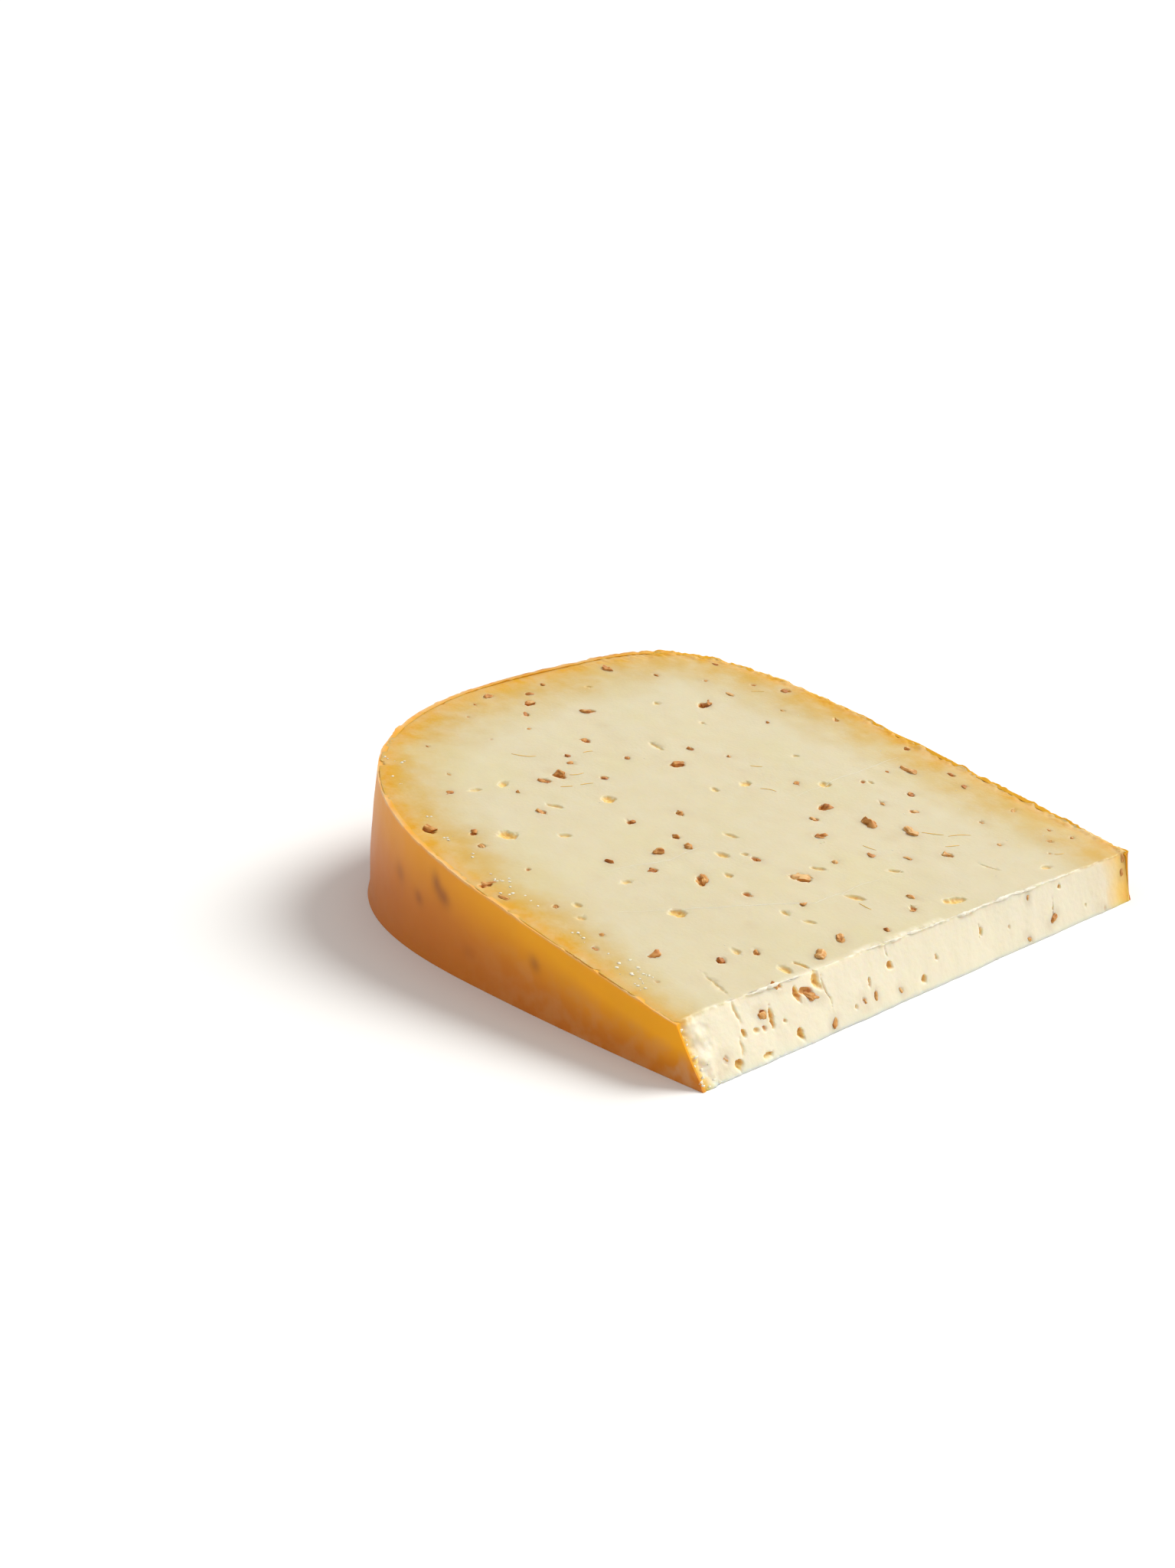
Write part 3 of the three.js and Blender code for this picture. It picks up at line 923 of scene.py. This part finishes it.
def make_rind_coating():
    rises = np.linspace(0, 1, 37)
    outer = np.array([rind_row(0, rise, COAT_STEP) for rise in rises])
    inner = np.array([rind_row(COAT_FILM + COAT_FOLD * fade(rise, 0.9, 1), rise, COAT_STEP)
                      for rise in rises])
    rows, columns, _ = outer.shape
    rise = np.repeat(rises, columns)
    outward = (outer - inner).reshape(-1, 3)
    outward /= np.linalg.norm(outward, axis=1)[:, None]
    outside = outer.reshape(-1, 3)
    inside = inner.reshape(-1, 3)
    height = outside[:, 2]
    lip = (1 - fade(height, 0, 1.6)) * 0.35
    swell = np.maximum(rough(outside, 9, 0.12, 3), -0.04) + rough(outside, 2.4, 0.02, 8)
    ragged = fade(rise, 0.965, 1)
    far_side = fade(outside[:, 1], 20, 50)
    curl = rough(outside, 1.1, 0.16, 1) + rough(outside, 4, 0.2, 2)
    lift = ragged * (0.06 + np.clip(0.9 * curl, -0.04, 1) * (1 - far_side))
    lift += ragged * far_edge_lift(outside, np.zeros(len(outside)))
    outside = outside + outward * (lip + swell * fade(height, 0, 3) + 0.4 * lift)[:, None]
    outside += lift[:, None] * TOP_NORMAL
    gilding = ragged * rough(inside, 0.9, 0.1, 17)
    tucked = 0.2 * ragged * far_side
    inside = inside + ((lift * 0.4 + gilding) * (1 - far_side) - tucked)[:, None] * TOP_NORMAL
    points = np.vstack([outside, inside])
    count = rows * columns
    faces = grid_faces(rows, columns) + grid_faces(rows, columns, count, flip=True)
    for column in range(columns - 1):
        bottom = column
        top = (rows - 1) * columns + column
        faces.append((bottom, bottom + 1, bottom + 1 + count, bottom + count))
        faces.append((top, top + count, top + count + 1, top + 1))
    for row in range(rows - 1):
        first = row * columns
        last = first + columns - 1
        faces.append((first, first + count, first + count + columns, first + columns))
        faces.append((last, last + columns, last + columns + count, last + count))
    piece = new_piece("coating_film", points, faces)
    both = np.concatenate([rise, rise])
    mark(piece.data, "rise", both)
    cut_edge = np.concatenate([fade(rise, 0.978, 0.995), np.full(count, 0.2)])
    cut_edge *= 1 - np.concatenate([far_side, far_side])
    mark(piece.data, "cut_edge", cut_edge)
    mark(piece.data, "gilt", np.concatenate([fade(rise, 0.97, 1) * far_side, np.ones(count)]))
    smudge = np.zeros(len(points))
    near = points[:, 1] < 0
    for x, share, wide, tall, strength in SMUDGES:
        away = ((points[:, 0] - x) / wide) ** 2 + ((both - share) / tall) ** 2
        smudge += near * strength * np.exp(-away)
    mark(piece.data, "smudge", smudge)
    # Painted light: the near side's film is painted lighter toward its top and toward the tip, and the far
    # side's film is painted darker.
    x = points[:, 0]
    toward_tip = fade(x, -10, 50)
    up = fade(both, 0.3 - 0.25 * toward_tip, 1.0)
    lit = np.clip(0.75 * up + 0.5 * toward_tip * both + 0.16 * fade(x, 30, 55), 0, 1)
    beyond = fade(points[:, 1], -25, 12)
    mark(piece.data, "painted_light", lit * (1 - beyond) - 0.5 * beyond)
    low_tip = fade(x, 50, 56) * (1 - fade(both, 0.2, 0.7))
    low_edge = fade(x, 10, 40) * (1 - fade(both, 0.03, 0.12))
    low = fade(x, -5, 30) * (1 - fade(both, 0.35, 0.8))
    mark(piece.data, "smear", near * np.maximum.reduce([0.8 * low_tip, 0.5 * low_edge, 0.3 * low]))
    smooth(piece, 60)
    return piece


# ---------------------------------------------------------------- materials

def linear(hex_colour):
    """An sRGB hex colour as linear RGBA."""
    channels = [int(hex_colour[i:i + 2], 16) / 255 for i in (1, 3, 5)]
    low = 0.04045
    return [c / 12.92 if c <= low else ((c + 0.055) / 1.055) ** 2.4 for c in channels] + [1]


def per_mm(size):
    """The texture scale that gives features size mm across."""
    return 1 / (size * MM)


def add(material, kind, links=None, stops=None, **settings):
    """Adds a node: settings are its own, links its sockets' values, nodes or other sockets."""
    tree = material.node_tree
    node = tree.nodes.new(kind)
    for name, value in settings.items():
        setattr(node, name, value)
    for key, value in (links or {}).items():
        if isinstance(key, int):
            socket = node.inputs[key]
        else:
            socket = next(s for s in node.inputs if key in (s.identifier, s.name))
        if isinstance(value, bpy.types.Node):
            value = next(s for s in value.outputs if s.enabled)
        if isinstance(value, bpy.types.NodeSocket):
            tree.links.new(value, socket)
        else:
            socket.default_value = value
    if stops:
        ramp = node.color_ramp
        while len(ramp.elements) < len(stops):
            ramp.elements.new(0.5)
        for element, (place, colour) in zip(ramp.elements, stops):
            element.position = place
            element.color = linear(colour)
    return node


def new_material(name):
    material = bpy.data.materials.new(name)
    material.use_nodes = True
    material.node_tree.nodes.clear()
    return material


def finish_material(material, shader):
    add(material, "ShaderNodeOutputMaterial", {"Surface": shader})
    return material


def gouda_paste():
    """Semi-hard cheese, cut with a wire: waxy and cloudy, so light soaks into its edges."""
    m = new_material("gouda_paste")
    place = add(m, "ShaderNodeTexCoord").outputs["Object"]
    rind = add(m, "ShaderNodeAttribute", attribute_name="rind_mm").outputs["Fac"]
    hole = add(m, "ShaderNodeAttribute", attribute_name="hole_mm").outputs["Fac"]
    stain = add(m, "ShaderNodeAttribute", attribute_name="stain").outputs["Fac"]
    tip_light_and_break = add(m, "ShaderNodeAttribute", attribute_name="tip_light_and_break").outputs["Fac"]
    bruised = add(m, "ShaderNodeAttribute", attribute_name="bruised").outputs["Fac"]
    wander = add(m, "ShaderNodeTexNoise", {"Vector": place, "Scale": per_mm(9), "Detail": 3.0})
    shift = add(m, "ShaderNodeMath", {0: wander, 1: 0.5}, operation="SUBTRACT")
    deep_in = add(m, "ShaderNodeMapRange", {"Value": rind, "From Min": 0.8, "From Max": 5.0,
                                            "To Min": 0.6, "To Max": 6.0})
    drift = add(m, "ShaderNodeMath", {0: shift, 1: deep_in, 2: rind}, operation="MULTIPLY_ADD")
    share = add(m, "ShaderNodeMapRange", {"Value": drift, "From Max": 16.5})
    body = add(m, "ShaderNodeValToRGB", {"Fac": share}, stops=[
        (0.0, "#d69a02"), (0.05, "#d49a10"), (0.11, "#d09e2a"), (0.2, "#cba246"),
        (0.38, "#c9aa66"), (0.66, "#cbb98c"), (1.0, "#d0c4a3")])
    mottle = add(m, "ShaderNodeTexNoise", {"Vector": place, "Scale": per_mm(6), "Detail": 6.0,
                                           "Roughness": 0.65})
    paler = add(m, "ShaderNodeMapRange", {"Value": mottle, "From Min": 0.4, "From Max": 0.7,
                                          "To Max": 0.4})
    body = add(m, "ShaderNodeMix", {"Factor_Float": paler, "A_Color": body,
                                    "B_Color": linear("#d3ccb2")}, data_type="RGBA")
    cloud = add(m, "ShaderNodeTexNoise", {"Vector": place, "Scale": per_mm(17), "Detail": 2.0})
    oily = add(m, "ShaderNodeMapRange", {"Value": cloud, "From Min": 0.5, "From Max": 0.68,
                                         "To Max": 0.35})
    body = add(m, "ShaderNodeMix", {"Factor_Float": oily, "A_Color": body,
                                    "B_Color": linear("#d0c69a")}, data_type="RGBA")
    # Painted light and fresh break: the tip face takes this paler ramp, partly for the whiter broken paste
    # and partly as painted light.
    broken = add(m, "ShaderNodeValToRGB", {"Fac": share}, stops=[
        (0.0, "#f0b03a"), (0.1, "#f2cc74"), (0.3, "#ede5cf")])
    body = add(m, "ShaderNodeMix", {"Factor_Float": tip_light_and_break, "A_Color": body,
                                    "B_Color": broken}, data_type="RGBA")
    patchy = add(m, "ShaderNodeTexNoise", {"Vector": place, "Scale": per_mm(1.8), "Detail": 3.0})
    flaky = add(m, "ShaderNodeMapRange", {"Value": patchy, "From Min": 0.42, "From Max": 0.58,
                                          "To Min": 0.2, "To Max": 1.0})
    bruised = add(m, "ShaderNodeMath", {0: flaky, 1: bruised}, operation="MULTIPLY")
    body = add(m, "ShaderNodeMix", {"Factor_Float": bruised, "A_Color": body,
                                    "B_Color": linear("#f3eedd")}, data_type="RGBA")
    soaked = add(m, "ShaderNodeMath", {0: stain, 1: 0.22}, operation="MULTIPLY")
    body = add(m, "ShaderNodeMix", {"Factor_Float": soaked, "A_Color": body,
                                    "B_Color": linear("#c0a886")}, data_type="RGBA")
    # Painted shade and painted glow in pits: the deeper a hole, the darker and more orange its paste is
    # painted, and more orange still beside a seed. This stands in for shade and for light passing through
    # the paste.
    pit_shade = add(m, "ShaderNodeValToRGB", {"Fac": hole}, stops=[
        (0.0, "#ecdca2"), (0.35, "#f0cf80"), (0.7, "#eec05c"), (1.0, "#e6a43c")])
    pit_shade_near_seed = add(m, "ShaderNodeMix", {"Factor_Float": stain, "A_Color": pit_shade,
                                     "B_Color": linear("#e09430")}, data_type="RGBA")
    pit_shade_share = add(m, "ShaderNodeMapRange", {"Value": hole, "From Min": 0.08, "From Max": 0.45,
                                         "To Max": 0.85})
    body = add(m, "ShaderNodeMix", {"Factor_Float": pit_shade_share, "A_Color": body,
                                    "B_Color": pit_shade_near_seed}, data_type="RGBA")
    stretched = add(m, "ShaderNodeMapping", {"Vector": place, "Scale": (1.0, 0.05, 1.0)})
    drag = add(m, "ShaderNodeTexNoise", {"Vector": stretched, "Scale": per_mm(0.8), "Detail": 4.0})
    grain = add(m, "ShaderNodeTexNoise", {"Vector": place, "Scale": per_mm(0.7), "Detail": 5.0})
    relief = add(m, "ShaderNodeMath", {0: drag, 1: 0.6, 2: grain}, operation="MULTIPLY_ADD")
    bump = add(m, "ShaderNodeBump", {"Height": relief, "Strength": 0.4, "Distance": 0.12 * MM})
    sheen = add(m, "ShaderNodeMapRange", {"Value": mottle, "To Min": 0.42, "To Max": 0.62})
    shader = add(m, "ShaderNodeBsdfPrincipled", {
        "Base Color": body, "Roughness": sheen, "Normal": bump, "IOR": 1.45,
        "Specular IOR Level": 0.35, "Subsurface Weight": 0.85, "Subsurface Radius": (1.0, 0.72, 0.4),
        "Subsurface Scale": 1.4 * MM})
    return finish_material(m, shader)


def cheese_coating():
    """Cheese coating brushed on in films: glossy, orange, and thin enough to glow at its edges. It also
    carries painted light: lighter toward the top and the tip, darker on the far side.
    """
    m = new_material("cheese_coating")
    place = add(m, "ShaderNodeTexCoord").outputs["Object"]
    rise = add(m, "ShaderNodeAttribute", attribute_name="rise").outputs["Fac"]
    edge = add(m, "ShaderNodeAttribute", attribute_name="cut_edge").outputs["Fac"]
    gilt = add(m, "ShaderNodeAttribute", attribute_name="gilt").outputs["Fac"]
    smudge = add(m, "ShaderNodeAttribute", attribute_name="smudge").outputs["Fac"]
    smear = add(m, "ShaderNodeAttribute", attribute_name="smear").outputs["Fac"]
    painted_light = add(m, "ShaderNodeAttribute", attribute_name="painted_light").outputs["Fac"]
    cloud = add(m, "ShaderNodeTexNoise", {"Vector": place, "Scale": per_mm(14), "Detail": 4.0})
    shift = add(m, "ShaderNodeMath", {0: cloud, 1: 0.5}, operation="SUBTRACT")
    # Painted light: the attribute read above moves the colour lighter toward the top and the tip, and
    # darker on the far side.
    drifted = add(m, "ShaderNodeMath", {0: shift, 1: 0.4, 2: painted_light}, operation="MULTIPLY_ADD")
    level = add(m, "ShaderNodeMapRange", {"Value": drifted, "From Min": -0.5, "From Max": 1.0})
    body = add(m, "ShaderNodeValToRGB", {"Fac": level}, stops=[
        (0.0, "#ad5a0c"), (0.25, "#cc7224"), (0.5, "#d67e1a"), (0.8, "#eb960e"), (1.0, "#fca808")])
    body = add(m, "ShaderNodeMix", {"Factor_Float": smudge, "A_Color": body,
                                    "B_Color": linear("#88431f")}, data_type="RGBA")
    patchy = add(m, "ShaderNodeTexNoise", {"Vector": place, "Scale": per_mm(3.5), "Detail": 5.0})
    patch = add(m, "ShaderNodeMapRange", {"Value": patchy, "From Min": 0.42, "From Max": 0.6})
    smeared = add(m, "ShaderNodeMath", {0: patch, 1: smear}, operation="MULTIPLY")
    body = add(m, "ShaderNodeMix", {"Factor_Float": smeared, "A_Color": body,
                                    "B_Color": linear("#d99a62")}, data_type="RGBA")
    body = add(m, "ShaderNodeMix", {"Factor_Float": gilt, "A_Color": body,
                                    "B_Color": linear("#e0a41c")}, data_type="RGBA")
    broken = add(m, "ShaderNodeTexNoise", {"Vector": place, "Scale": per_mm(5), "Detail": 3.0})
    pale = add(m, "ShaderNodeMapRange", {"Value": broken, "From Min": 0.4, "From Max": 0.6,
                                         "To Min": 0.35, "To Max": 1.0})
    pale = add(m, "ShaderNodeMath", {0: pale, 1: edge}, operation="MULTIPLY")
    body = add(m, "ShaderNodeMix", {"Factor_Float": pale, "A_Color": body,
                                    "B_Color": linear("#dfb880")}, data_type="RGBA")
    ripple = add(m, "ShaderNodeTexNoise", {"Vector": place, "Scale": per_mm(2.5), "Detail": 5.0})
    bump = add(m, "ShaderNodeBump", {"Height": ripple, "Strength": 0.25, "Distance": 0.12 * MM})
    shader = add(m, "ShaderNodeBsdfPrincipled", {
        "Base Color": body, "Roughness": 0.42, "Normal": bump, "IOR": 1.48,
        "Specular IOR Level": 0.2,
        "Subsurface Weight": 0.2, "Subsurface Radius": (1.0, 0.35, 0.05),
        "Subsurface Scale": 1.2 * MM})
    return finish_material(m, shader)


def cumin_husk():
    """Dried cumin: a ridged, papery husk, tan on its ridges and dark brown between them."""
    m = new_material("cumin_husk")
    place = add(m, "ShaderNodeTexCoord").outputs["Object"]
    husk = add(m, "ShaderNodeAttribute", attribute_name="husk").outputs["Fac"]
    streak = add(m, "ShaderNodeTexNoise", {"Vector": place, "Scale": per_mm(0.7), "Detail": 4.0})
    mix = add(m, "ShaderNodeMath", {0: streak, 1: 0.9, 2: husk}, operation="MULTIPLY_ADD")
    tone = add(m, "ShaderNodeMapRange", {"Value": mix, "From Min": 0.4, "From Max": 1.45})
    body = add(m, "ShaderNodeValToRGB", {"Fac": tone}, stops=[
        (0.0, "#9c5a22"), (0.35, "#bb7830"), (0.7, "#cc944e"), (1.0, "#deb47a")])
    bump = add(m, "ShaderNodeBump", {"Height": streak, "Strength": 0.5, "Distance": 0.1 * MM})
    shader = add(m, "ShaderNodeBsdfPrincipled", {
        "Base Color": body, "Roughness": 0.6, "Normal": bump, "IOR": 1.45,
        "Subsurface Weight": 0.3, "Subsurface Radius": (1.0, 0.65, 0.25),
        "Subsurface Scale": 0.7 * MM})
    return finish_material(m, shader)


def cumin_stalk():
    """Dried stalk of the cumin plant, as fine as a hair and straw yellow."""
    m = new_material("cumin_stalk")
    shader = add(m, "ShaderNodeBsdfPrincipled", {
        "Base Color": linear("#ecc05c"), "Roughness": 0.5, "IOR": 1.45,
        "Subsurface Weight": 0.2, "Subsurface Radius": (1.0, 0.8, 0.4),
        "Subsurface Scale": 0.1 * MM})
    return finish_material(m, shader)


def fresh_crumb():
    """Crumbs broken from the paste: nearly white, since every face of them scatters light."""
    m = new_material("fresh_crumb")
    place = add(m, "ShaderNodeTexCoord").outputs["Object"]
    grain = add(m, "ShaderNodeTexNoise", {"Vector": place, "Scale": per_mm(0.5), "Detail": 4.0})
    body = add(m, "ShaderNodeValToRGB", {"Fac": grain}, stops=[(0.3, "#e2dac2"), (0.6, "#eee8d8")])
    bump = add(m, "ShaderNodeBump", {"Height": grain, "Strength": 0.5, "Distance": 0.08 * MM})
    shader = add(m, "ShaderNodeBsdfPrincipled", {
        "Base Color": body, "Roughness": 0.6, "Normal": bump, "IOR": 1.45,
        "Specular IOR Level": 0.3, "Subsurface Weight": 0.3,
        "Subsurface Radius": (1.0, 0.9, 0.7), "Subsurface Scale": 0.15 * MM})
    return finish_material(m, shader)


def dress(piece, material):
    piece.data.materials.clear()
    piece.data.materials.append(material)
    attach(piece, "root")
    return piece


# ---------------------------------------------------------------- studio

SEEN_WHITE = 1.1
ROOM_LIGHT = 0.57
ROOM_COLOUR = "#fcfbf8"
WINDOW_LIGHT = 3.05
WINDOW_SPREAD = 34
WINDOW_SIDE = (0.16, 0.7, 0.7)
WINDOW_COLOUR = "#fffdf8"


def make_stage():
    """A white table that runs on past the view."""
    size = 400.0
    mesh = bpy.data.meshes.new("table")
    half = size / 2
    mesh.from_pydata([(-half, -half, 0), (half, -half, 0), (half, half, 0), (-half, half, 0)], [],
                     [(0, 1, 2, 3)])
    table = bpy.data.objects.new("table", mesh)
    bpy.context.scene.collection.objects.link(table)
    m = new_material("white_table")
    shader = add(m, "ShaderNodeBsdfDiffuse", {"Color": (0.9, 0.9, 0.9, 1)})
    mesh.materials.append(finish_material(m, shader))


def make_daylight():
    """A bright white room, and a broad window high on the right, a little behind the wedge."""
    world = bpy.data.worlds.new("white_room")
    bpy.context.scene.world = world
    world.use_nodes = True
    tree = world.node_tree
    tree.nodes.clear()
    seen = tree.nodes.new("ShaderNodeBackground")
    seen.inputs["Strength"].default_value = SEEN_WHITE
    room = tree.nodes.new("ShaderNodeBackground")
    room.inputs["Color"].default_value = linear(ROOM_COLOUR)
    room.inputs["Strength"].default_value = ROOM_LIGHT
    path = tree.nodes.new("ShaderNodeLightPath")
    either = tree.nodes.new("ShaderNodeMixShader")
    result = tree.nodes.new("ShaderNodeOutputWorld")
    seen.inputs["Color"].default_value = (1, 1, 1, 1)
    tree.links.new(path.outputs["Is Camera Ray"], either.inputs["Fac"])
    tree.links.new(room.outputs[0], either.inputs[1])
    tree.links.new(seen.outputs[0], either.inputs[2])
    tree.links.new(either.outputs[0], result.inputs["Surface"])
    lamp = bpy.data.lights.new("window", "SUN")
    lamp.energy = WINDOW_LIGHT
    lamp.angle = math.radians(WINDOW_SPREAD)
    lamp.color = linear(WINDOW_COLOUR)[:3]
    window = bpy.data.objects.new("window", lamp)
    window.rotation_euler = Vector(WINDOW_SIDE).to_track_quat("Z", "Y").to_euler()
    bpy.context.scene.collection.objects.link(window)


def make_camera():
    camera = bpy.data.cameras.new("camera")
    camera.sensor_width = 36
    camera.lens = 45.34
    camera.clip_start = 0.01
    eye = bpy.data.objects.new("camera", camera)
    eye.location = Vector((245.8, -240.4, 133.3)) * MM
    look = Vector((-0.7150, 0.6255, -0.3122))
    eye.rotation_euler = look.to_track_quat("-Z", "Y").to_euler()
    bpy.context.scene.collection.objects.link(eye)
    bpy.context.scene.camera = eye
    bpy.context.scene.view_settings.view_transform = "Standard"


# ---------------------------------------------------------------- putting it together

make_camera()
make_stage()
make_daylight()

seeds = settle_seeds()
coating = make_rind_coating()
paste = make_paste(seeds, coating)
dress(coating, cheese_coating())
dress(paste, gouda_paste())
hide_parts("rind_coating")
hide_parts("paste")

husk = cumin_husk()
for seed in seeds:
    if seed["node"]:
        piece = make_seed(seed["node"].replace("cumin_seed", "seed"), [seed])
        dress(piece, husk)
        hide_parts(seed["node"])
small = make_seed("small_seeds", [seed for seed in seeds if not seed["node"]])
dress(small, husk)

surface = surface_tree(paste)
dress(make_stalks(surface), cumin_stalk())
crumb = fresh_crumb()
dress(make_crumbs(surface), crumb)
dress(make_scores(surface), crumb)
dress(make_burr(), crumb)
